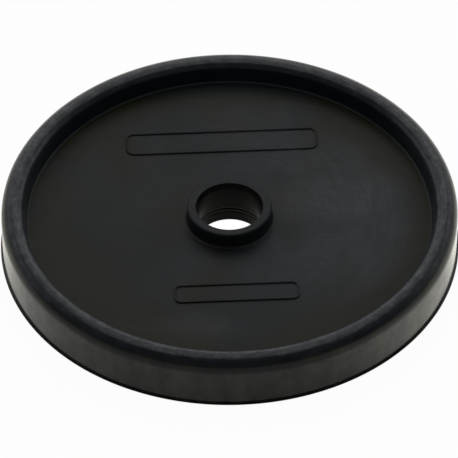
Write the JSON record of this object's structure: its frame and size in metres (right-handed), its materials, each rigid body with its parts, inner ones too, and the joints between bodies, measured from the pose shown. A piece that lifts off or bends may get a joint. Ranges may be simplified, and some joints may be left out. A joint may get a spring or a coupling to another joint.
{
  "type": "pump diaphragm",
  "caption": "Round moulded rubber pump diaphragm with a raised outer rim, a flat web and a bored centre collar for clamping it to a piston.",
  "frame": {"origin": "centre of the flat underside, on the axis of the bore", "axes": "+Z along the bore, from the underside towards the collar; X and Y lie in the underside"},
  "size_m": [0.098, 0.098, 0.0119],
  "materials": {
    "black_rubber": "satin moulded black rubber with a faint bloom"
  },
  "bodies": {
    "root": {"diaphragm": "black_rubber"}
  },
  "joints": []
}
